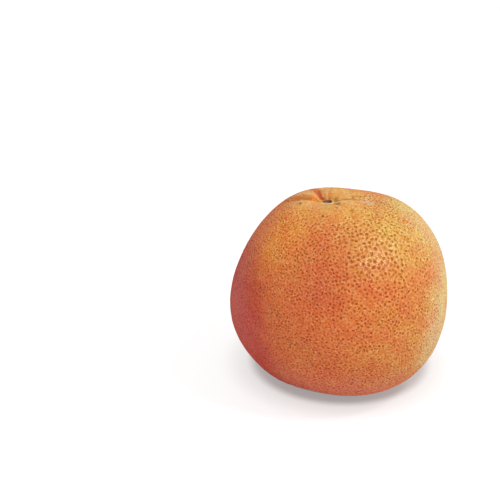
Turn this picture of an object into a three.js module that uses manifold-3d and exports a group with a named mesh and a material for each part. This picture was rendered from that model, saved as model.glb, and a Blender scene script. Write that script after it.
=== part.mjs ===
// A whole grapefruit, picked from its stem, resting on the small flat that its own weight presses
// into the underside. It grew as one piece, so it is one closed solid.
// Millimetres, +Z up. The origin is on the ground under the middle of the fruit's bounding box, and
// +X is the side with the two full shoulders.
import * as THREE from "three";
import { mergeVertices } from "three/addons/utils/BufferGeometryUtils.js";
import Module from "manifold-3d";

const { clamp, degToRad, lerp, smoothstep } = THREE.MathUtils;

// Driving dimensions. An azimuth turns from +X towards +Y and an elevation is above the horizon,
// both in degrees and seen from the middle of the fruit. Everything else is in millimetres.
const WAIST_RADIUS = 52.2; // of the plain round body, square to the stem axis
const POLE_RADIUS = 49.1; // of the plain round body, along the stem axis
const SQUARENESS = 2.1; // 2 makes the body's outline an ellipse, and more fills its shoulders
const STEM = { azimuth: 195, elevation: 81.3 }; // where the stem end points: a little off the top
const REST_PRESS = 0.6; // how much of the underside the resting flat takes off

// Broad swellings that make the body lopsided. spread is in degrees.
const SWELLINGS = [
  { azimuth: -3, elevation: 43, height: 2.6, spread: 31 }, // upper shoulder on the full side
  { azimuth: 39, elevation: 46, height: 1.3, spread: 17 }, // the same shoulder, round the back
  { azimuth: 2, elevation: -50, height: 5.8, spread: 35 }, // lower shoulder on the full side
  { azimuth: 177, elevation: -22, height: 4, spread: 30 }, // cheek on the lean side
  { azimuth: 180, elevation: 20, height: -1, spread: 25 }, // flatter above the cheek
  { azimuth: 165, elevation: 69, height: 3.7, spread: 25 }, // collar beside the stem
  { azimuth: 94, elevation: 62, height: -0.6, spread: 24 }, // lower behind the stem
  { azimuth: 183, elevation: -59, height: 4.2, spread: 20 }, // foot of the lean side
  { azimuth: 70, elevation: -8, height: 1.1, spread: 36 }, // back
  { azimuth: -125, elevation: 12, height: 0.8, spread: 34 }, // front, lean side
  { azimuth: -65, elevation: -33, height: 1.6, spread: 25 }, // front, full side
];

// The hollow at the stem end. Its middle lies a little behind the stem axis, so that its front rim
// stands higher over the scar than its back one.
const HOLLOW = { depth: 3.6, spread: 7.6, behind: 1.2 };

// The folds that run out of the hollow over the shoulder. width is half of a fold's width where it is
// deepest, and bend turns it by so many degrees for each millimetre that it runs out.
const FOLD_START = 1.8; // distance from the stem axis at which the folds begin
const FOLD_FULL = 5; // distance at which they are deepest
const FOLD_FLARE = 0.08; // the share of its width that a fold gains in each millimetre outward
const FOLDS = [
  { azimuth: 172, depth: 1.9, width: 1.2, reach: 26, bend: -0.3 },
  { azimuth: 146, depth: -0.5, width: 1.6, reach: 22 }, // a ridge between two folds
  { azimuth: 113, depth: 3, width: 2.1, reach: 19 },
  { azimuth: 96, depth: -0.6, width: 1, reach: 16 }, // a ridge between two folds
  { azimuth: 81, depth: 0.6, width: 0.9, reach: 15 },
  { azimuth: 8, depth: 1.4, width: 1.2, reach: 26, bend: -0.4 },
  { azimuth: -45, depth: 0.8, width: 1, reach: 17 },
  { azimuth: -112, depth: 0.5, width: 1.1, reach: 10 },
];

// The scar that the stem left: a small cup with a rim round it, and a nub in the middle of it.
const CUP = { radius: 2.3, depth: 1.2, edge: 0.8 };
const NUB = { radius: 1.3, height: 0.8, edge: 0.7 };
const RIM = { radius: 2.8, height: 0.35, width: 0.7 };

// The net of faces: meridians run from the stem to the blossom end, and the rings between them
// crowd towards the stem, where the shape is finest.
const MERIDIANS = 72;
const RINGS = 72;
const RING_EVENNESS = 0.14; // 1 spaces the rings evenly, 0 crowds them most at the stem
const MERGE_DISTANCE = 1e-4;

function directionOf({ azimuth, elevation }) {
  const a = degToRad(azimuth);
  const e = degToRad(elevation);
  return new THREE.Vector3(Math.cos(e) * Math.cos(a), Math.cos(e) * Math.sin(a), Math.sin(e));
}

const bell = (x) => Math.exp(-x * x);

// The plain round body's radius at an angle from the stem axis.
function bodyRadius(angle) {
  const across = Math.sin(angle) / WAIST_RADIUS;
  const along = Math.abs(Math.cos(angle)) / POLE_RADIUS;
  return (across ** SQUARENESS + along ** SQUARENESS) ** (-1 / SQUARENESS);
}

// How far all the swellings together lift the peel in one direction.
function swelling(direction) {
  const lifts = SWELLINGS.map(({ height, spread, ...place }) => {
    const away = direction.angleTo(directionOf(place));
    return height * bell(away / degToRad(spread));
  });
  return lifts.reduce((sum, lift) => sum + lift, 0);
}

// How deep the folds are at a distance from the stem axis, in a turn about it.
function foldDepth(distance, turn) {
  const rise = smoothstep(distance, FOLD_START, FOLD_FULL);
  const flare = 1 + FOLD_FLARE * (distance - FOLD_FULL);
  const depths = FOLDS.map(({ azimuth, depth, width, reach, bend = 0 }) => {
    const aside = turn - degToRad(azimuth + bend * distance);
    if (Math.cos(aside) <= 0) return 0;
    const fade = 1 - smoothstep(distance, reach / 3, reach);
    return depth * rise * fade * bell((distance * Math.sin(aside)) / (width * flare));
  });
  return depths.reduce((sum, depth) => sum + depth, 0);
}

// How deep the hollow is at a distance from the stem axis, in a turn about it.
function hollowDepth(distance, turn) {
  const aside = distance * Math.cos(turn);
  const along = distance * Math.sin(turn) - HOLLOW.behind;
  return HOLLOW.depth * bell(Math.hypot(aside, along) / HOLLOW.spread);
}

// 1 inside a round step of this radius and 0 outside it, with a soft edge.
const inside = (distance, { radius, edge }) => 1 - smoothstep(distance, radius - edge, radius);

// The scar's height above the floor of the hollow.
function scarHeight(distance) {
  const rim = RIM.height * bell((distance - RIM.radius) / RIM.width);
  return rim - CUP.depth * inside(distance, CUP) + NUB.height * inside(distance, NUB);
}

// The peel's distance from the middle of the fruit. angle and turn are about the stem axis, and
// direction is the same direction as the fruit stands.
function peelRadius(angle, turn, direction) {
  const distance = angle * WAIST_RADIUS;
  const sunken = hollowDepth(distance, turn) + foldDepth(distance, turn);
  return bodyRadius(angle) + swelling(direction) - sunken + scarHeight(distance);
}

// A unit sphere's vertices moved out to the peel. The sphere's own pole is +Y.
function peelGeometry() {
  const geometry = new THREE.SphereGeometry(1, MERIDIANS, RINGS).rotateX(Math.PI / 2);
  const lean = new THREE.Quaternion().setFromUnitVectors(
    new THREE.Vector3(0, 0, 1),
    directionOf(STEM),
  );
  const position = geometry.getAttribute("position");
  const point = new THREE.Vector3();
  for (let i = 0; i < position.count; i++) {
    point.fromBufferAttribute(position, i);
    const turn = Math.atan2(point.y, point.x);
    const ring = Math.acos(clamp(point.z, -1, 1)) / Math.PI;
    const angle = Math.PI * lerp(ring ** 2, ring, RING_EVENNESS);
    point.set(Math.sin(angle) * Math.cos(turn), Math.sin(angle) * Math.sin(turn), Math.cos(angle));
    point.applyQuaternion(lean);
    point.multiplyScalar(peelRadius(angle, turn, point));
    position.setXYZ(i, point.x, point.y, point.z);
  }
  return geometry;
}

const wasm = await Module();
wasm.setup();

function solidOf(geometry) {
  const bare = geometry.clone().deleteAttribute("normal").deleteAttribute("uv");
  const merged = mergeVertices(bare, MERGE_DISTANCE);
  return new wasm.Manifold(
    new wasm.Mesh({
      numProp: 3,
      vertProperties: merged.getAttribute("position").array,
      triVerts: new Uint32Array(merged.index.array),
    }),
  );
}

function geometryOf(solid) {
  const { vertProperties, triVerts } = solid.getMesh();
  const geometry = new THREE.BufferGeometry();
  geometry.setAttribute("position", new THREE.BufferAttribute(vertProperties, 3));
  geometry.setIndex(new THREE.BufferAttribute(triVerts, 1));
  geometry.computeVertexNormals();
  return geometry;
}

// The peel with its underside taken off level, REST_PRESS above its lowest point.
function pressedFlat(geometry) {
  geometry.computeBoundingBox();
  const size = 4 * WAIST_RADIUS;
  const floor = geometry.boundingBox.min.z + REST_PRESS;
  const ground = new THREE.BoxGeometry(size, size, size).translate(0, 0, floor - size / 2);
  return geometryOf(solidOf(geometry).subtract(solidOf(ground)));
}

const peelMaterial = new THREE.MeshStandardMaterial({
  color: 0xd88644,
  roughness: 0.45,
  metalness: 0,
});

const fruit = new THREE.Mesh(pressedFlat(peelGeometry()), peelMaterial);
fruit.name = "grapefruit";
fruit.geometry.computeBoundingBox();
const box = fruit.geometry.boundingBox;
fruit.position.set(-(box.min.x + box.max.x) / 2, -(box.min.y + box.max.y) / 2, -box.min.z);

const root = new THREE.Group();
root.add(fruit);

export default root;
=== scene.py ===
"""A whole grapefruit resting on a pale floor: the peel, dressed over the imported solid.

Everything is in metres, +Z up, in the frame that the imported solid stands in. The solid gives the
fruit's form, with the hollow, folds and scar of its stem end. This script lays a finer net over it,
sinks an oil-gland pit into the net at each pore, and paints the peel. The floor, the light and the
camera come last.
"""

from math import cos, radians, sin

import bmesh
import bpy
import numpy as np
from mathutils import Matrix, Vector, noise
from mathutils.bvhtree import BVHTree
from mathutils.kdtree import KDTree


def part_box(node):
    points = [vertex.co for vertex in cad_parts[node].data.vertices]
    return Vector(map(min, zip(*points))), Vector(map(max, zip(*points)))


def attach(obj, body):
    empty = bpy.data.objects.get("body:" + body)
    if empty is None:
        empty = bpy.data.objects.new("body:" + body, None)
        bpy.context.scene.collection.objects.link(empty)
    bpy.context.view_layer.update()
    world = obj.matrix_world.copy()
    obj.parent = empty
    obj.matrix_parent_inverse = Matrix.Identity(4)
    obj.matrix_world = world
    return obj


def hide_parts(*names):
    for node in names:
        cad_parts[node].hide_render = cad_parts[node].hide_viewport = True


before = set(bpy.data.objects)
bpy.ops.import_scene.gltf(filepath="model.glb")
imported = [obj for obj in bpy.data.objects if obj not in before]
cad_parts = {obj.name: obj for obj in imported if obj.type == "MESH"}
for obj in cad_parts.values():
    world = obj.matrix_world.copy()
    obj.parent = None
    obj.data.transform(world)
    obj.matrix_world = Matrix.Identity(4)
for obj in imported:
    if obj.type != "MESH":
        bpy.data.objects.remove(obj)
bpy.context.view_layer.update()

MM = 0.001
SEED = 7
TINY = 1e-20  # the least that a length is divided by

fruit_low, fruit_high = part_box("grapefruit")
middle = (fruit_low + fruit_high) / 2
fruit_radius = (fruit_high.x - fruit_low.x) / 2

# The net over the peel: an icosahedron's faces, each cut into NET_CUTS x NET_CUTS triangles, and
# drawn together towards the stem, where the form is finest.
NET_CUTS = 98
STEM_CROWDING = 0.62
STEM_CROWDING_SPREAD = radians(13)
ROUNDING = 0.75  # how far the net bulges between the solid's flat facets: 0 lies on them
WELD_DISTANCE = 0.002 * MM  # joins the solid's split corners
FLAT_HEIGHT = 0.01 * MM  # facets that stay below this are the resting flat
JOINED_DIGITS = 6  # points of the net that agree to this many digits are one

# The pores. Each has a size from 0 to 1, which sets its width, its depth and the room round it.
PORE_RADIUS = (0.27 * MM, 0.54 * MM)
PORE_DEPTH = (0.08 * MM, 0.34 * MM)
PORE_SPACING = (0.82 * MM, 1.68 * MM)
PORE_SIZES = (1.3, 1.8)  # the shape of the beta distribution that the sizes are drawn from
PORE_STRETCH = 0.35  # how much closer a pit's ends count, along the way that it is drawn out
PORE_TRIES = 160000
PIT_REACH = 1.35  # where a pit's slope ends, in its pore's radii
PIT_POWER = 1.2  # over 1, a pit narrows towards its bottom
RIM_RADIUS = 3.4 * MM  # no pore opens on the scar or its rim

# Where the pores are wider and further apart, and their pits deeper with them, and then where the
# pits alone are deeper. Each is a share more than elsewhere, or less where it is negative: azimuth,
# elevation and spread in degrees, then the share.
COARSE_SPOTS = (
    (-64, 43, 17, 0.50),  # the full shoulder in front
    (-85, 64, 25, 0.12),  # below the stem
    (0, 38, 28, -0.18),  # the sunny shoulder
    (-150, 8, 45, -0.12),  # the lean side
)
DEEP_SPOTS = (
    (187, -16, 40, -0.65),  # the blushed cheek
    (14, 8, 42, -0.68),  # the pale side
)

# What else lifts the peel: broad unevenness, as the width of its lumps and their height, and the nub
# in the scar, which stands a little further out than the solid's.
UNEVENNESS = ((9 * MM, 0.10 * MM), (3.1 * MM, 0.05 * MM))
NUB_WIDTH = 1.3 * MM
NUB_RISE = 0.6 * MM
FOLD_BLUR_ROUNDS = 40  # rounds of blurring that level the hollow and the folds


def numbers(vectors):
    return np.array([tuple(v) for v in vectors], float)


def unit(vectors):
    return vectors / np.linalg.norm(vectors, axis=-1, keepdims=True)


def smoothstep(low, high, x):
    t = np.clip((x - low) / (high - low), 0, 1)
    return t * t * (3 - 2 * t)


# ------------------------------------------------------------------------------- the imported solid


def solid_mesh():
    """The solid's points and triangles, with its split corners joined."""
    bm = bmesh.new()
    bm.from_mesh(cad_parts["grapefruit"].data)
    bmesh.ops.remove_doubles(bm, verts=bm.verts, dist=WELD_DISTANCE)
    bmesh.ops.triangulate(bm, faces=bm.faces)
    points = numbers(v.co for v in bm.verts)
    triangles = np.array([[v.index for v in f.verts] for f in bm.faces])
    bm.free()
    return points, triangles


def corner_normals(points, triangles):
    """Rounded normals at the points, which leave out the resting flat so that it stays crisp."""
    a, b, c = (points[triangles[:, k]] for k in range(3))
    across = np.cross(b - a, c - a)
    across[is_resting_flat(points, triangles)] = 0
    normals = np.zeros_like(points)
    for k in range(3):
        np.add.at(normals, triangles[:, k], across)
    lengths = np.linalg.norm(normals, axis=1, keepdims=True)
    return np.where(lengths > 0, normals / np.maximum(lengths, TINY), (0, 0, -1))


def is_resting_flat(points, triangles):
    return points[triangles][:, :, 2].max(axis=1) < fruit_low.z + FLAT_HEIGHT


def stem_scar(points, triangles):
    """The middle of the stem's scar: the point in the solid's top half where most facets meet."""
    facets_met = np.bincount(triangles.ravel(), minlength=len(points))
    facets_met[points[:, 2] < middle.z] = 0
    return points[facets_met.argmax()]


solid_points, solid_triangles = solid_mesh()
solid_normals = corner_normals(solid_points, solid_triangles)
scar_at = stem_scar(solid_points, solid_triangles)
heart = np.array(middle)
stem = unit(scar_at - heart)  # the stem's direction, seen from the middle of the fruit


def laid_on_solid(directions):
    """Where rays from the fruit's middle leave the solid, bulged out between its facets."""
    tree = BVHTree.FromPolygons(solid_points.tolist(), solid_triangles.tolist())
    hits = [tree.ray_cast(middle, Vector(d)) for d in directions]
    points = numbers(hit[0] for hit in hits)
    faces = solid_triangles[[hit[2] for hit in hits]]
    a, b, c = (solid_points[faces[:, k]] for k in range(3))
    whole = np.cross(b - a, c - a)
    scale = (whole**2).sum(axis=1)
    # How much each corner of its facet counts at a point.
    shares = np.stack(
        [
            (np.cross(c - b, points - b) * whole).sum(axis=1) / scale,
            (np.cross(a - c, points - c) * whole).sum(axis=1) / scale,
            (np.cross(b - a, points - a) * whole).sum(axis=1) / scale,
        ],
        axis=1,
    )
    bulged = np.zeros_like(points)
    for k in range(3):
        normal = solid_normals[faces[:, k]]
        height = ((points - solid_points[faces[:, k]]) * normal).sum(axis=1, keepdims=True)
        bulged += shares[:, k : k + 1] * (points - height * normal)
    return points + ROUNDING * (bulged - points)


# ------------------------------------------------------------------------------------- the net


def geodesic_net(cuts):
    """Unit vectors and triangles of an icosahedron's faces, each edge cut into this many."""
    bm = bmesh.new()
    bmesh.ops.create_icosphere(bm, subdivisions=1, radius=1)
    corners = [numbers(v.co for v in face.verts) for face in bm.faces]
    bm.free()
    rows = [(i, j) for i in range(cuts + 1) for j in range(cuts + 1 - i)]
    at = {row: k for k, row in enumerate(rows)}
    shares = np.array([(cuts - i - j, i, j) for i, j in rows]) / cuts
    up = [(at[i, j], at[i + 1, j], at[i, j + 1]) for i, j in rows if i + j < cuts]
    down = [(at[i + 1, j], at[i + 1, j + 1], at[i, j + 1]) for i, j in rows if i + j < cuts - 1]
    points = unit(np.concatenate([shares @ corner for corner in corners]))
    triangles = np.concatenate([np.array(up + down) + k * len(rows) for k in range(len(corners))])
    _, first, joined = np.unique(
        np.round(points, JOINED_DIGITS), axis=0, return_index=True, return_inverse=True
    )
    return points[first], joined.ravel()[triangles]


def drawn_to_stem(directions):
    """The directions, each turned towards the stem by a share that fades away from it."""
    along = directions @ stem
    sideways = directions - along[:, None] * stem
    across = np.linalg.norm(sideways, axis=1, keepdims=True)
    angle = np.arccos(np.clip(along, -1, 1))
    angle = angle * (1 - STEM_CROWDING * np.exp(-((angle / STEM_CROWDING_SPREAD) ** 2)))
    sideways = sideways / np.maximum(across, TINY)
    return np.cos(angle)[:, None] * stem + np.sin(angle)[:, None] * sideways


# ------------------------------------------------------------------------------------ the pores


def direction_of(azimuth, elevation):
    """A unit vector from angles in degrees: azimuth from +X towards +Y, elevation above level."""
    a, e = radians(azimuth), radians(elevation)
    return np.array((cos(e) * cos(a), cos(e) * sin(a), sin(e)))


def gained(directions, spots):
    """The scale that spots on the fruit give something: 1 away from them all."""
    scale = np.ones(len(directions))
    for azimuth, elevation, spread, gain in spots:
        away = np.arccos(np.clip(directions @ direction_of(azimuth, elevation), -1, 1))
        scale += gain * np.exp(-((away / radians(spread)) ** 2))
    return scale


def scattered_pores():
    """Directions and sizes of the pores, thrown at random, largest first, and kept where they fit."""
    rng = np.random.default_rng(SEED)
    thrown = unit(rng.normal(size=(PORE_TRIES, 3)))
    sizes = np.sort(rng.beta(*PORE_SIZES, PORE_TRIES))[::-1]
    room = (PORE_SPACING[0] + sizes * (PORE_SPACING[1] - PORE_SPACING[0])) / fruit_radius
    room *= gained(thrown, COARSE_SPOTS)
    away_from_stem = np.arccos(np.clip(thrown @ stem, -1, 1))
    clear = away_from_stem > RIM_RADIUS / fruit_radius
    cell = room.max()
    taken = {}
    kept = []
    nearby = [(i, j, k) for i in (-1, 0, 1) for j in (-1, 0, 1) for k in (-1, 0, 1)]
    for index in np.flatnonzero(clear):
        x, y, z = thrown[index]
        own_room = room[index]
        ci, cj, ck = int(x // cell), int(y // cell), int(z // cell)
        others = (o for i, j, k in nearby for o in taken.get((ci + i, cj + j, ck + k), ()))
        if any(
            (x - ox) ** 2 + (y - oy) ** 2 + (z - oz) ** 2 < ((own_room + other_room) / 2) ** 2
            for ox, oy, oz, other_room in others
        ):
            continue
        taken.setdefault((ci, cj, ck), []).append((x, y, z, own_room))
        kept.append(index)
    return thrown[kept], sizes[kept]


def tree_of(points):
    tree = KDTree(len(points))
    for index, point in enumerate(points):
        tree.insert(point, index)
    tree.balance()
    return tree


def nearest(tree, points):
    """For each point, the number and the place of the nearest in the tree."""
    found = [tree.find(point) for point in points]
    return np.array([f[1] for f in found]), numbers(f[0] for f in found)


def snapped(directions, targets):
    """The directions, with the one nearest to each target moved onto it."""
    index, _ = nearest(tree_of(directions), targets)
    moved = directions.copy()
    moved[index] = targets
    return moved


# ------------------------------------------------------------------------------ the peel's mesh


def uneven(points, size):
    """Smooth noise from -1 to 1 whose lumps are about this wide."""
    return np.array([noise.noise(Vector(p / size)) for p in points])


def vertex_normals(points, triangles):
    a, b, c = (points[triangles[:, k]] for k in range(3))
    across = np.cross(b - a, c - a)
    normals = np.zeros_like(points)
    for k in range(3):
        np.add.at(normals, triangles[:, k], across)
    return unit(normals)


def sunken(points, triangles):
    """How far each point lies in a hollow or fold, in mm, and out on a ridge where it is negative."""
    edges = np.concatenate([triangles[:, (0, 1)], triangles[:, (1, 2)], triangles[:, (2, 0)]])
    starts, ends = edges.T
    neighbours = np.bincount(ends, minlength=len(points))
    radius = np.linalg.norm(points - heart, axis=1)
    blurred = radius.copy()
    for _ in range(FOLD_BLUR_ROUNDS):
        blurred = np.bincount(ends, blurred[starts], minlength=len(points)) / neighbours
    return (blurred - radius) / MM


def offsets_in_pores(points, at, radii, drawn_out):
    """How far points are from their pores' middles, in radii of the slightly drawn-out pits."""
    offsets = (points - at) / radii
    along = (offsets * drawn_out).sum(axis=-1, keepdims=True)
    return offsets - PORE_STRETCH * along * drawn_out


def pit_profile(reach):
    """A pit's depth at a reach in radii: 1 in its middle, 0 at its rim and past it."""
    return (1 - smoothstep(0, PIT_REACH, reach)) ** PIT_POWER


def add_attribute(mesh, name, kind, domain, values):
    """Stores values on the mesh, where the material finds them by name."""
    attribute = mesh.attributes.new(name, kind, domain)
    field = "vector" if kind == "FLOAT_VECTOR" else "value"
    attribute.data.foreach_set(field, values.ravel().astype(np.float32))


def peel_mesh():
    """The peel's net with its pits, which also says where each facet's nearest pore is."""
    directions, triangles = geodesic_net(NET_CUTS)
    directions = drawn_to_stem(directions)
    pores, sizes = scattered_pores()
    directions = snapped(directions, pores)
    smooth = laid_on_solid(directions)
    normals = vertex_normals(smooth, triangles)

    pore_points = laid_on_solid(pores)
    coarse = gained(pores, COARSE_SPOTS)
    radii = (PORE_RADIUS[0] + sizes * (PORE_RADIUS[1] - PORE_RADIUS[0])) * coarse
    depths = (PORE_DEPTH[0] + sizes * (PORE_DEPTH[1] - PORE_DEPTH[0])) * coarse
    depths *= gained(pores, DEEP_SPOTS)
    rng = np.random.default_rng(SEED)
    tones = rng.random(len(pores))
    drawn_out = unit(np.cross(pores, rng.normal(size=pores.shape)))
    pore_tree = tree_of(pore_points)
    owner, owner_at = nearest(pore_tree, smooth)
    offsets = offsets_in_pores(smooth, owner_at, radii[owner, None], drawn_out[owner])
    lift = -depths[owner] * pit_profile(np.linalg.norm(offsets, axis=1))
    for size, height in UNEVENNESS:
        lift += height * uneven(smooth, size)
    lift += NUB_RISE * np.exp(-((np.linalg.norm(smooth - scar_at, axis=1) / NUB_WIDTH) ** 2))
    points = smooth + lift[:, None] * normals
    points[:, 2] = np.maximum(points[:, 2], fruit_low.z)

    mesh = bpy.data.meshes.new("grapefruit_peel")
    mesh.from_pydata(points.tolist(), [], triangles.tolist())
    mesh.polygons.foreach_set("use_smooth", np.ones(len(triangles), bool))

    # Each facet's corners say how far they are from the nearest pore's middle, in its radii.
    facet_owner, facet_at = nearest(pore_tree, smooth[triangles].mean(axis=1))
    offsets = offsets_in_pores(
        smooth[triangles],
        facet_at[:, None],
        radii[facet_owner, None, None],
        drawn_out[facet_owner, None],
    )
    add_attribute(mesh, "pore_offset", "FLOAT_VECTOR", "CORNER", offsets)
    for name, values in (("pore_depth", depths / PORE_DEPTH[1]), ("pore_tone", tones)):
        add_attribute(mesh, name, "FLOAT", "CORNER", np.repeat(values[facet_owner], 3))
    add_attribute(mesh, "sunken", "FLOAT", "POINT", sunken(smooth, triangles))
    mesh.update()
    return mesh


# ------------------------------------------------------------------------------- the peel's look


def srgb(code):
    """A linear colour from a hex code, such as d27a42."""
    parts = [int(code[k : k + 2], 16) / 255 for k in (0, 2, 4)]
    linear = [p / 12.92 if p <= 0.04045 else ((p + 0.055) / 1.055) ** 2.4 for p in parts]
    return (*linear, 1)


class Nodes:
    """Short calls for making one material's nodes and joining them up."""

    def __init__(self, name):
        self.material = bpy.data.materials.new(name)
        self.material.use_nodes = True
        self.tree = self.material.node_tree
        self.shader = self.tree.nodes["Principled BSDF"]

    def set(self, socket, value):
        if isinstance(value, bpy.types.NodeSocket):
            self.tree.links.new(value, socket)
        else:
            socket.default_value = value

    def make(self, kind, inputs=(), **settings):
        made = self.tree.nodes.new(kind)
        for name, value in settings.items():
            setattr(made, name, value)
        for name, value in dict(inputs).items():
            self.set(made.inputs[name], value)
        return made

    def math(self, operation, *values):
        made = self.make("ShaderNodeMath", operation=operation)
        for socket, value in zip(made.inputs, values):
            self.set(socket, value)
        return made.outputs[0]

    def vector(self, operation, *values):
        made = self.make("ShaderNodeVectorMath", operation=operation)
        for socket, value in zip(made.inputs, values):
            self.set(socket, value)
        return made

    def ramp(self, value, low, high, to_low=0.0, to_high=1.0):
        """value from low to high, either of them the larger, turned smoothly into to_low to to_high."""
        inputs = {
            "Value": value,
            "From Min": low,
            "From Max": high,
            "To Min": to_low,
            "To Max": to_high,
        }
        made = self.make("ShaderNodeMapRange", inputs, interpolation_type="SMOOTHSTEP")
        return made.outputs["Result"]

    def noise(self, where, size, detail=2.0, roughness=0.5):
        """Noise about 0.5, whose lumps are about size metres wide."""
        inputs = {"Vector": where, "Scale": 1 / size, "Detail": detail, "Roughness": roughness}
        return self.make("ShaderNodeTexNoise", inputs).outputs["Fac"]

    def cells(self, where, size):
        """How far a place is from the nearest of scattered points, where 1 is the room between them."""
        inputs = {"Vector": where, "Scale": 1 / size}
        return self.make("ShaderNodeTexVoronoi", inputs).outputs["Distance"]

    def drift(self, place, where, size, reach):
        """A place, pushed up to half of reach each way by noise whose lumps are about size wide."""
        inputs = {"Vector": where, "Scale": 1 / size, "Detail": 2.0}
        push = self.make("ShaderNodeTexNoise", inputs).outputs["Color"]
        centred = self.vector("SUBTRACT", push, (0.5, 0.5, 0.5)).outputs["Vector"]
        scaled = self.vector("SCALE", centred)
        scaled.inputs["Scale"].default_value = reach
        return self.vector("ADD", place, scaled.outputs["Vector"]).outputs["Vector"]

    def mix(self, factor, a, b, blend="MIX"):
        made = self.make("ShaderNodeMix", data_type="RGBA", blend_type=blend)
        inputs = {socket.name: socket for socket in made.inputs if socket.enabled}
        for name, value in (("Factor", factor), ("A", a), ("B", b)):
            self.set(inputs[name], value)
        return next(socket for socket in made.outputs if socket.enabled)

    def shade(self, colour, amount, shares):
        """colour, made lighter by these shares of itself where amount is 1 and darker at -1."""
        scale = self.vector("SCALE", shares)
        self.set(scale.inputs["Scale"], amount)
        factor = self.vector("ADD", scale.outputs["Vector"], (1, 1, 1)).outputs["Vector"]
        return self.vector("MULTIPLY", colour, factor).outputs["Vector"]

    def patch(self, where, centre, inner, outer):
        """1 within inner of a centre, fading to 0 at outer."""
        apart = self.vector("DISTANCE", where, tuple(centre)).outputs["Value"]
        return self.ramp(apart, inner, outer, 1.0, 0.0)

    def band(self, place, turn, start, end, width):
        """1 on a band that runs out from the stem at a turn in degrees, start to end mm away."""
        t = radians(turn)
        along = self.vector("DOT_PRODUCT", place, (cos(t), sin(t), 0)).outputs["Value"]
        aside = self.vector("DOT_PRODUCT", place, (-sin(t), cos(t), 0)).outputs["Value"]
        aside = self.math("ABSOLUTE", aside)
        across = self.ramp(aside, BAND_CORE * width * MM, width * MM, 1.0, 0.0)
        begun = self.ramp(along, start * MM, (start + BAND_START) * MM)
        away = self.vector("LENGTH", place).outputs["Value"]
        ended = self.ramp(away, BAND_FADE * end * MM, end * MM, 1.0, 0.0)
        return self.math("MULTIPLY", across, self.math("MULTIPLY", begun, ended))


def on_fruit(azimuth, elevation):
    """A point of the peel, by its direction from the fruit's middle in degrees."""
    return heart + fruit_radius * direction_of(azimuth, elevation)


# The broad colours of the peel: azimuth and elevation of each patch's middle in degrees, then how far
# it is whole and where it has faded out, both in mm, and its share at its middle.
PEEL_COLOUR = "ef7c3a"
PEEL_ZONES = (
    ("fd9940", -142, 50, 4, 30, 0.90),  # the shoulder on the lean side
    ("fbb052", -112, 84, 14, 31, 0.90),  # round the stem
    ("ebad52", -21, 54, 12, 42, 0.95),  # the sunny shoulder
    ("ea953f", -30, -8, 8, 62, 0.80),  # below it
    ("f4cb83", -4, -9, 20, 38, 0.90),  # the pale side, partly its own colour and partly a painted reflection along the rim
    ("f4ca80", 11, 31, 13, 38, 0.85),  # and above it, partly a painted reflection too
    ("ef7f64", -100, -66, 10, 50, 0.90),  # underneath
    ("e07c3c", -97, 40, 6, 30, 0.65),  # duller in front
    ("e89a46", -66, 44, 3, 19, 0.80),  # golden round the gloss
    ("e58440", -115, 66, 2, 15, 0.60),  # redder below the stem
    ("eb9c4c", -80, 56, 2, 14, 0.55),  # a golden streak beside that
    ("df5e38", -100, 23, 0, 12, 0.75),  # a small blush in front
    ("d4361c", 187, -16, 28, 55, 0.92),  # the blushed cheek
)

# How wide the wandering of the patches' edges is, and how far they wander. Over the patches lie lumps
# that are yellower or redder, by these shares of red, green and blue, and red flecks.
PATCH_DRIFT = (22 * MM, 12 * MM)
LUMPS = (11 * MM, (0.0, 0.13, 0.05))
FLECK_COLOUR = "d85c34"
FLECK_WIDTH = 6 * MM
FLECK_SHARE = 0.30

# The relief between the pores. Each layer runs from -1 to 1: how wide its lumps are, how far it
# changes the colour, as shares of its red, green and blue, and how high it stands either way. Its
# colour is lighter where it stands higher: partly the peel's mottling, partly painted shading.
CRUMPLE = (1.5 * MM, (0.065, 0.23, 0.60), 0.030 * MM)
GRAIN = (0.55 * MM, (0.09, 0.34, 0.70), 0.009 * MM)
DIMPLES = (1.2 * MM, (0.055, 0.20, 0.54), 0.024 * MM)
RELIEF_NEAR_STEM = (4 * MM, 26 * MM, 0.5)  # whole past the second distance, this share at the first
PALE_BLUE = (0.10, 0.24)  # the peel is pale where its blue is over these, first a little, then fully
PALE_RELIEF = 0.45

# The pores. A tint is the share that is left of the peel's red, green and blue where a pit is fully
# dark, a darkness that is partly the glands' own colour and partly painted shade in the pit. The rim
# highlight's shares are what a painted highlight on the rim round a large pit adds to them.
PIT_TINT = (0.69, 0.40, 0.0, 1)
PIT_HEIGHT = 0.34 * MM
RIM_HIGHLIGHT_SHARES = (0.055, 0.15, 0.30)
FINE_PIT_SPACING = 1.15 * MM
FINE_PIT_SHARE = 0.78  # of a large pit's darkness
FINE_PIT_HEIGHT = 0.06 * MM
PITS_NEAR_STEM = (5 * MM, 26 * MM, 0.12)
PIT_MOST = 1.1  # the strongest that a pit or its painted rim highlight gets

# The gloss of the waxy peel: its roughness, from the smoothest places to the dullest, and how much
# rougher it looks at a glancing angle.
WAXY_ROUGHNESS = (0.24, 0.33)
GLANCING_ROUGHNESS = 0.30
PEEL_IOR = 1.5
PEEL_SPECULAR = 0.45

# The hollow round the stem. Its folds are darker, partly their colour and partly painted shade, and
# its ridges paler, partly painted light. These colours are whole within the first distance from the
# scar and gone at the second, and so is the olive cast. Each colour has its largest share.
FOLD_REACH = (14 * MM, 30 * MM)
FOLD_TONE_AND_SHADE = ("b87434", 0.35)
RIDGE_TONE_AND_LIGHT = ("f2cb8a", 0.30)
OLIVE_REACH = (3 * MM, 12 * MM)
OLIVE_COLOUR = ("c9a83c", 0.45)
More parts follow.
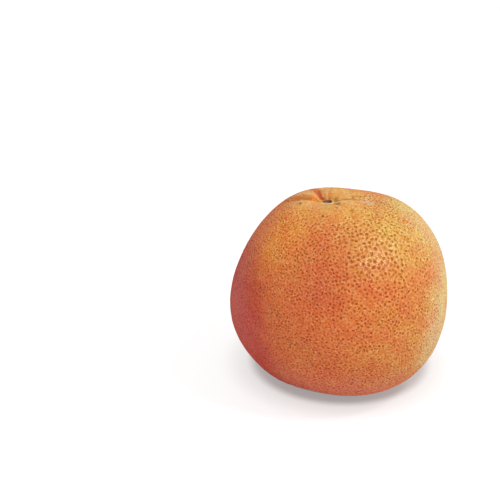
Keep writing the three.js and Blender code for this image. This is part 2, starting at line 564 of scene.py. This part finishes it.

# Bands that run out from the stem: turn in degrees, start, end and width in mm, and share. The dark
# bands in the folds and the crease are partly the peel's colour and partly painted shade, and the
# pale ones are painted light on ridges and lips. A band sets in over BAND_START mm. Its core is a
# share of its width, and it fades from a share of its end.
BAND_START = 2
BAND_CORE = 0.3
BAND_FADE = 0.6
STEM_BANDS = (
    ("de7024", 116, 3.0, 32, 3.1, 0.90),  # the deep red fold
    ("b4460f", 113, 5.5, 16, 1.2, 0.80),  # its darkest line
    ("f8b268", 124, 7.0, 24, 0.9, 0.70),  # and the pale edge along it, a painted highlight
    ("f4c070", 100, 3.0, 22, 1.3, 0.60),  # the pale ridge on its other side
    ("cc7a38", 82, 3.0, 18, 1.1, 0.60),  # the narrow fold beyond that
    ("cf7a30", 161, 5.0, 34, 2.4, 0.80),  # the fold on the lean side
    ("b98a42", 5, 2.0, 16, 1.2, 0.70),  # the crease on the full side
    ("cf8a48", 1, 9.0, 36, 1.1, 0.55),  # its far end
    ("fcc47c", -24, 4.0, 20, 1.4, 0.60),  # and the pale lip in front of it, a painted highlight
)

# Spots near the stem: turn in degrees, distance, inner and outer radius in mm, and share. Heights
# count for little, so that a spot reaches down into a fold.
FLATTENED = (1, 1, 0.1)
STEM_SPOTS = (
    ("ff941a", 160, 6.8, 0.5, 1.9, 0.90),  # a bright orange spot in the fold on the lean side
    ("e2b04c", -90, 9.0, 1.0, 5.0, 0.60),  # yellow in front of the scar
    ("a0701c", 28, 4.6, 0.6, 2.2, 0.70),  # brown behind it
    ("f8c898", -5, 19.0, 1.0, 4.5, 0.60),  # a pale place by the crease
    ("ac6214", -166, 13.1, 0.5, 1.5, 0.90),  # brown specks
    ("a8641a", -36, 6.7, 0.4, 1.5, 0.80),
    ("ac6014", -64, 10.6, 0.3, 1.1, 0.80),
    ("ac6014", -44, 16.7, 0.3, 1.3, 0.85),
    ("ac6014", -97, 15.6, 0.3, 1.2, 0.85),
    ("b8602c", 12, 12.7, 0.3, 1.6, 0.65),  # red marks along the crease
    ("b8602c", 11, 16.0, 0.3, 1.6, 0.65),
)

# The scar: a dark cup, partly the scar's own brown and partly painted shade in its hollow, a painted
# highlight on the lip in front of it, and a nub a little off its middle. Each has its colour and
# share, and the distances from the middle between which it fades in or out.
CUP_COLOUR_AND_SHADE = ("6a3c18", 1.0)
CUP_EDGE = (2.1 * MM, 2.8 * MM)
LIP_HIGHLIGHT_COLOUR = ("f2cd98", 0.7)
LIP_HIGHLIGHT_EDGES = ((2.1 * MM, 2.6 * MM), (2.9 * MM, 4.2 * MM))
NUB_COLOUR = ("e8b09a", 0.9)
NUB_PLACE = (-0.4 * MM, 0.6 * MM, 0)
NUB_EDGE = (0.5 * MM, 1.3 * MM)


def seen_from_stem(n, where):
    """The place as the stem has it: from the scar, with the stem's own axis as Z."""
    lean = Vector(stem).rotation_difference(Vector((0, 0, 1)))
    inputs = {"Vector": where, "Center": tuple(scar_at), "Axis": lean.axis, "Angle": lean.angle}
    upright = n.make("ShaderNodeVectorRotate", inputs).outputs["Vector"]
    return n.vector("SUBTRACT", upright, tuple(scar_at)).outputs["Vector"]


def zone_colour(n, where):
    """The broad colours of the peel, whose edges wander."""
    drifting = n.drift(where, where, *PATCH_DRIFT)
    colour = srgb(PEEL_COLOUR)
    for code, azimuth, elevation, inner, outer, share in PEEL_ZONES:
        patch = n.patch(drifting, on_fruit(azimuth, elevation), inner * MM, outer * MM)
        colour = n.mix(n.math("MULTIPLY", patch, share), colour, srgb(code))
    size, shares = LUMPS
    colour = n.shade(colour, n.ramp(n.noise(where, size, 3.0), 0.3, 0.7, -1.0, 1.0), shares)
    flecks = n.ramp(n.noise(where, FLECK_WIDTH, 4.0, 0.6), 0.56, 0.74, 0.0, FLECK_SHARE)
    return n.mix(flecks, colour, srgb(FLECK_COLOUR))


def stem_colour(n, where, colour):
    """Round the stem: folds darker, ridges paler, partly painted shade and light; and spots."""
    away = n.vector("DISTANCE", where, tuple(scar_at)).outputs["Value"]
    sunk = n.make("ShaderNodeAttribute", attribute_name="sunken").outputs["Fac"]
    wander = n.math("MULTIPLY", n.math("SUBTRACT", n.noise(where, 2.2 * MM, 3.0), 0.5), 0.5)
    sunk = n.math("ADD", sunk, wander)
    near = n.ramp(away, *FOLD_REACH, 1.0, 0.0)
    # darker in the folds, partly painted shade, and paler on the ridges, partly painted light
    fold_tone_and_shade = n.math("MULTIPLY", n.ramp(sunk, 0.10, 0.55), near)
    ridge_tone_and_light = n.math("MULTIPLY", n.ramp(sunk, -0.05, -0.35), near)
    olive = n.math("MULTIPLY", n.ramp(away, *OLIVE_REACH, 1.0, 0.0), n.noise(where, 3 * MM))
    layers = ((olive, OLIVE_COLOUR), (ridge_tone_and_light, RIDGE_TONE_AND_LIGHT), (fold_tone_and_shade, FOLD_TONE_AND_SHADE))
    for layer, (code, share) in layers:
        colour = n.mix(n.math("MULTIPLY", layer, share), colour, srgb(code))

    place = n.drift(seen_from_stem(n, where), where, 3.5 * MM, 2.4 * MM)
    # dark bands partly painted shade in folds, pale ones painted light on ridges and lips
    for code, turn, start, end, width, share in STEM_BANDS:
        band = n.band(place, turn, start, end, width)
        colour = n.mix(n.math("MULTIPLY", band, share), colour, srgb(code))
    level = n.vector("MULTIPLY", seen_from_stem(n, where), FLATTENED).outputs["Vector"]
    ragged = n.drift(level, where, 0.9 * MM, 0.9 * MM)
    for code, turn, distance, inner, outer, share in STEM_SPOTS:
        centre = (distance * MM * cos(radians(turn)), distance * MM * sin(radians(turn)), 0)
        spot = n.patch(ragged, centre, inner * MM, outer * MM)
        colour = n.mix(n.math("MULTIPLY", spot, share), colour, srgb(code))
    return colour


def scar_colour(n, where, colour):
    """The scar: a dark cup, partly painted shade, with a paler nub, and a painted highlight on its lip.
    """
    place = n.drift(seen_from_stem(n, where), where, 1.1 * MM, 0.7 * MM)
    level = n.vector("MULTIPLY", place, FLATTENED).outputs["Vector"]
    away = n.vector("LENGTH", level).outputs["Value"]
    # the painted highlight lies only on the front side of the lip
    front = n.ramp(n.vector("DOT_PRODUCT", place, (0, -1, 0)).outputs["Value"], -0.5 * MM, 1.5 * MM)
    rising, falling = LIP_HIGHLIGHT_EDGES
    lip_highlight = n.math("MULTIPLY", n.ramp(away, *rising), n.ramp(away, *falling, 1.0, 0.0))
    lip_highlight = n.math("MULTIPLY", lip_highlight, front)
    cup_and_shade = n.ramp(away, *CUP_EDGE, 1.0, 0.0)
    nub = n.patch(level, NUB_PLACE, *NUB_EDGE)
    layers = ((lip_highlight, LIP_HIGHLIGHT_COLOUR), (cup_and_shade, CUP_COLOUR_AND_SHADE), (nub, NUB_COLOUR))
    for layer, (code, share) in layers:
        colour = n.mix(n.math("MULTIPLY", layer, share), colour, srgb(code))
    return colour


def relief(n, where, colour):
    """The colour and height of the peel between its pores: crumpled, grainy and finely dimpled.

    Its colour is lighter where it stands higher, partly painted shading of the relief.
    All of that is fainter near the stem and where the peel is pale.
    """
    crumple = n.ramp(n.noise(where, CRUMPLE[0], 3.0, 0.6), 0.25, 0.75, -1.0, 1.0)
    grain = n.ramp(n.noise(where, GRAIN[0], 1.0), 0.25, 0.75, -1.0, 1.0)
    dimples = n.ramp(n.cells(where, DIMPLES[0]), 0.15, 0.80, -1.0, 1.0)
    away = n.vector("DISTANCE", where, tuple(scar_at)).outputs["Value"]
    blue = n.make("ShaderNodeSeparateColor", {"Color": colour}).outputs["Blue"]
    clear = n.ramp(away, *RELIEF_NEAR_STEM, 1.0)
    strength = n.math("MULTIPLY", clear, n.ramp(blue, *PALE_BLUE, 1.0, PALE_RELIEF))
    height = 0.0
    for layer, (_, shares, rise) in ((crumple, CRUMPLE), (grain, GRAIN), (dimples, DIMPLES)):
        amount = n.math("MULTIPLY", layer, strength)
        # lighter where it stands higher: partly painted shading of the relief
        colour = n.shade(colour, amount, shares)
        height = n.math("MULTIPLY_ADD", amount, rise, height)
    return colour, height


def pitted(n, where, colour, height):
    """Sinks the pores: large dark pits, each ringed by a painted highlight, and fine ones.

    The deeper a pit is, the darker it is too, partly the glands' own colour and partly painted shade.
    All of them fade out near the stem.
    """
    offset = n.make("ShaderNodeAttribute", attribute_name="pore_offset").outputs["Vector"]
    depth = n.make("ShaderNodeAttribute", attribute_name="pore_depth").outputs["Fac"]
    tone = n.make("ShaderNodeAttribute", attribute_name="pore_tone").outputs["Fac"]
    away = n.vector("DISTANCE", where, tuple(scar_at)).outputs["Value"]
    reach = n.vector("LENGTH", n.drift(offset, where, 0.8 * MM, 1.5)).outputs["Value"]
    deeper = n.ramp(depth, 0.0, 1.3, 0.50, 1.75)
    darker = n.ramp(tone, 0.0, 1.0, 0.28, 1.05)
    patchy = n.ramp(n.noise(where, 7 * MM), 0.35, 0.65, 0.65, 1.15)
    clear = n.ramp(away, *PITS_NEAR_STEM, 1.0)
    strength = n.math("MULTIPLY", n.math("MULTIPLY", deeper, darker), patchy)
    strength = n.math("MINIMUM", n.math("MULTIPLY", strength, clear), PIT_MOST)

    # a painted highlight on the rim round each large pit
    rim_highlight = n.math("MULTIPLY", n.ramp(reach, 0.9, 1.5), n.ramp(reach, 2.4, 1.6))
    colour = n.shade(colour, n.math("MULTIPLY", rim_highlight, strength), RIM_HIGHLIGHT_SHARES)
    pit = n.math("MULTIPLY", n.ramp(reach, 0.25, 1.25, 1.0, 0.0), strength)
    pit = n.math("MINIMUM", pit, 1.0)
    apart = n.cells(where, FINE_PIT_SPACING)
    scarce = n.ramp(n.noise(where, 3 * MM), 0.35, 0.6)
    fine = n.math("MULTIPLY", n.ramp(apart, 0.10, 0.45, 1.0, 0.0), scarce)
    fine = n.math("MULTIPLY", n.math("MULTIPLY", fine, clear), n.math("SUBTRACT", 1.0, pit))
    dark = n.math("MULTIPLY_ADD", fine, FINE_PIT_SHARE, pit)
    # darker in the pits: partly the glands' own colour, partly painted shade
    colour = n.mix(dark, colour, n.mix(1.0, colour, PIT_TINT, "MULTIPLY"))
    height = n.math("MULTIPLY_ADD", pit, -PIT_HEIGHT, height)
    return colour, n.math("MULTIPLY_ADD", fine, -FINE_PIT_HEIGHT, height)


def peel_material():
    """The painted peel: broad colours, the stem end, the relief and the pores, under waxy gloss."""
    n = Nodes("grapefruit_peel")
    where = n.make("ShaderNodeTexCoord").outputs["Object"]
    colour = stem_colour(n, where, zone_colour(n, where))
    colour, height = relief(n, where, colour)
    colour, height = pitted(n, where, colour, height)
    n.set(n.shader.inputs["Base Color"], scar_colour(n, where, colour))
    bump = n.make("ShaderNodeBump", {"Strength": 1.0, "Distance": 1.0, "Height": height})
    n.set(n.shader.inputs["Normal"], bump.outputs["Normal"])
    waxy = n.ramp(n.noise(where, 2.5 * MM), 0.3, 0.7, *WAXY_ROUGHNESS)
    glancing = n.make("ShaderNodeLayerWeight", {"Blend": 0.5}).outputs["Facing"]
    matt = n.ramp(glancing, 0.55, 0.92, 0.0, GLANCING_ROUGHNESS)
    n.set(n.shader.inputs["Roughness"], n.math("ADD", waxy, matt))
    n.shader.inputs["IOR"].default_value = PEEL_IOR
    n.shader.inputs["Specular IOR Level"].default_value = PEEL_SPECULAR
    return n.material


peel = bpy.data.objects.new("grapefruit_peel", peel_mesh())
bpy.context.scene.collection.objects.link(peel)
peel.data.materials.append(peel_material())
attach(peel, "root")
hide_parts("grapefruit")

# ------------------------------------------------------------------------- floor, light and camera

FLOOR_SIZE = 8.0
FLOOR_GREY = (0.8, 0.8, 0.8, 1)  # of the light that falls on the floor, how much the fruit gets back
WORLD_LIGHT = (0.38, 0.78)  # the studio's brightness on the lean side and on the full side

# The lamps are round and soft. Each has the direction that it stands in, its distance from the fruit's
# middle and its width in metres, and its power in watts.
LAMPS = {
    "key": ((0.51, -0.28, 0.81), 0.9, 0.16, 2.45),
    "side": ((0.93, -0.3, 0.15), 1.1, 1.0, 0.45),
    "top": ((-0.1, 0.0, 1.0), 1.1, 1.0, 0.35),
    "fill": ((-0.75, -0.60, 0.45), 1.1, 1.0, 1.2),
}

# The floor that the camera sees glows as well, which brings it up to white. The lamps' own shadow
# stays on it, and a painted shadow makes the glow weaker under the fruit, by these amounts: in a
# core and in a fringe, each whole within its first radius and gone at its second.
SEEN_GREY = (0.35, 0.35, 0.35, 1)
SEEN_GLOW = 0.80
PAINTED_SHADOW_CENTRE = (0.0015, 0.021)
PAINTED_SHADOWS = (
    (0.34, 0.0425, 0.0500),
    (0.16, 0.0460, 0.0660),
)


def floor_material():
    n = Nodes("pale_floor")
    where = n.make("ShaderNodeTexCoord").outputs["Object"]
    rays = n.make("ShaderNodeLightPath").outputs
    brightness = SEEN_GLOW
    # a painted shadow: the glow is weaker round a point under the fruit
    for darkness, inner, outer in PAINTED_SHADOWS:
        shade = n.patch(where, (*PAINTED_SHADOW_CENTRE, fruit_low.z), inner, outer)
        brightness = n.math("SUBTRACT", brightness, n.math("MULTIPLY", shade, darkness))
    seen = n.make("ShaderNodeAddShader")
    n.set(seen.inputs[0], n.make("ShaderNodeEmission", {"Strength": brightness}).outputs["Emission"])
    n.set(seen.inputs[1], n.make("ShaderNodeBsdfDiffuse", {"Color": SEEN_GREY}).outputs["BSDF"])
    lit = n.make("ShaderNodeBsdfDiffuse", {"Color": FLOOR_GREY}).outputs["BSDF"]
    either = n.make("ShaderNodeMixShader", {"Fac": rays["Is Camera Ray"]})
    n.set(either.inputs[1], lit)
    n.set(either.inputs[2], seen.outputs["Shader"])
    n.set(n.tree.nodes["Material Output"].inputs["Surface"], either.outputs["Shader"])
    n.tree.nodes.remove(n.shader)
    return n.material


def make_floor():
    mesh = bpy.data.meshes.new("floor")
    half = FLOOR_SIZE / 2
    z = fruit_low.z
    corners = [(-half, -half, z), (half, -half, z), (half, half, z), (-half, half, z)]
    mesh.from_pydata(corners, [], [(0, 1, 2, 3)])
    mesh.materials.append(floor_material())
    floor = bpy.data.objects.new("floor", mesh)
    bpy.context.scene.collection.objects.link(floor)


def make_world():
    """A plain studio all round, brighter on the fruit's full side and white to the camera."""
    world = bpy.data.worlds.new("studio")
    bpy.context.scene.world = world
    world.use_nodes = True
    nodes, links = world.node_tree.nodes, world.node_tree.links
    direction = nodes.new("ShaderNodeTexCoord").outputs["Generated"]
    parts = nodes.new("ShaderNodeSeparateXYZ")
    links.new(direction, parts.inputs["Vector"])
    light = nodes.new("ShaderNodeMapRange")
    light.inputs["From Min"].default_value = -1.0
    light.inputs["To Min"].default_value, light.inputs["To Max"].default_value = WORLD_LIGHT
    links.new(parts.outputs["X"], light.inputs["Value"])
    seen = nodes.new("ShaderNodeMapRange")
    seen.inputs["To Max"].default_value = 1.0
    links.new(light.outputs["Result"], seen.inputs["To Min"])
    links.new(nodes.new("ShaderNodeLightPath").outputs["Is Camera Ray"], seen.inputs["Value"])
    background = nodes["Background"]
    links.new(seen.outputs["Result"], background.inputs["Strength"])
    background.inputs["Color"].default_value = (1, 1, 1, 1)


def make_lamp(name, direction, distance, size, power):
    data = bpy.data.lights.new(name, "AREA")
    data.shape = "DISK"
    data.size = size
    data.energy = power
    lamp = bpy.data.objects.new(name, data)
    bpy.context.scene.collection.objects.link(lamp)
    lamp.location = middle + Vector(direction).normalized() * distance
    lamp.rotation_euler = (middle - lamp.location).to_track_quat("-Z", "Y").to_euler()


# The camera looks along +Y and down, and the fruit stands right of and below the picture's middle.
CAMERA_ELEVATION = radians(26)
CAMERA_DISTANCE = 0.6014
CAMERA_LENS = 86.4
CAMERA_SENSOR = 36
AIM_LEFT = 0.0448
AIM_ABOVE = 0.0186


def make_camera():
    away = Vector((0, cos(CAMERA_ELEVATION), -sin(CAMERA_ELEVATION)))
    above = Vector((0, sin(CAMERA_ELEVATION), cos(CAMERA_ELEVATION)))
    data = bpy.data.cameras.new("camera")
    data.sensor_width = CAMERA_SENSOR
    data.lens = CAMERA_LENS
    camera = bpy.data.objects.new("camera", data)
    bpy.context.scene.collection.objects.link(camera)
    camera.location = middle - away * CAMERA_DISTANCE
    aim = middle + Vector((-AIM_LEFT, 0, 0)) + above * AIM_ABOVE
    camera.rotation_euler = (aim - camera.location).to_track_quat("-Z", "Y").to_euler()
    bpy.context.scene.camera = camera


make_floor()
make_world()
for name, lamp in LAMPS.items():
    make_lamp(name, *lamp)
make_camera()
bpy.context.scene.view_settings.view_transform = "Standard"
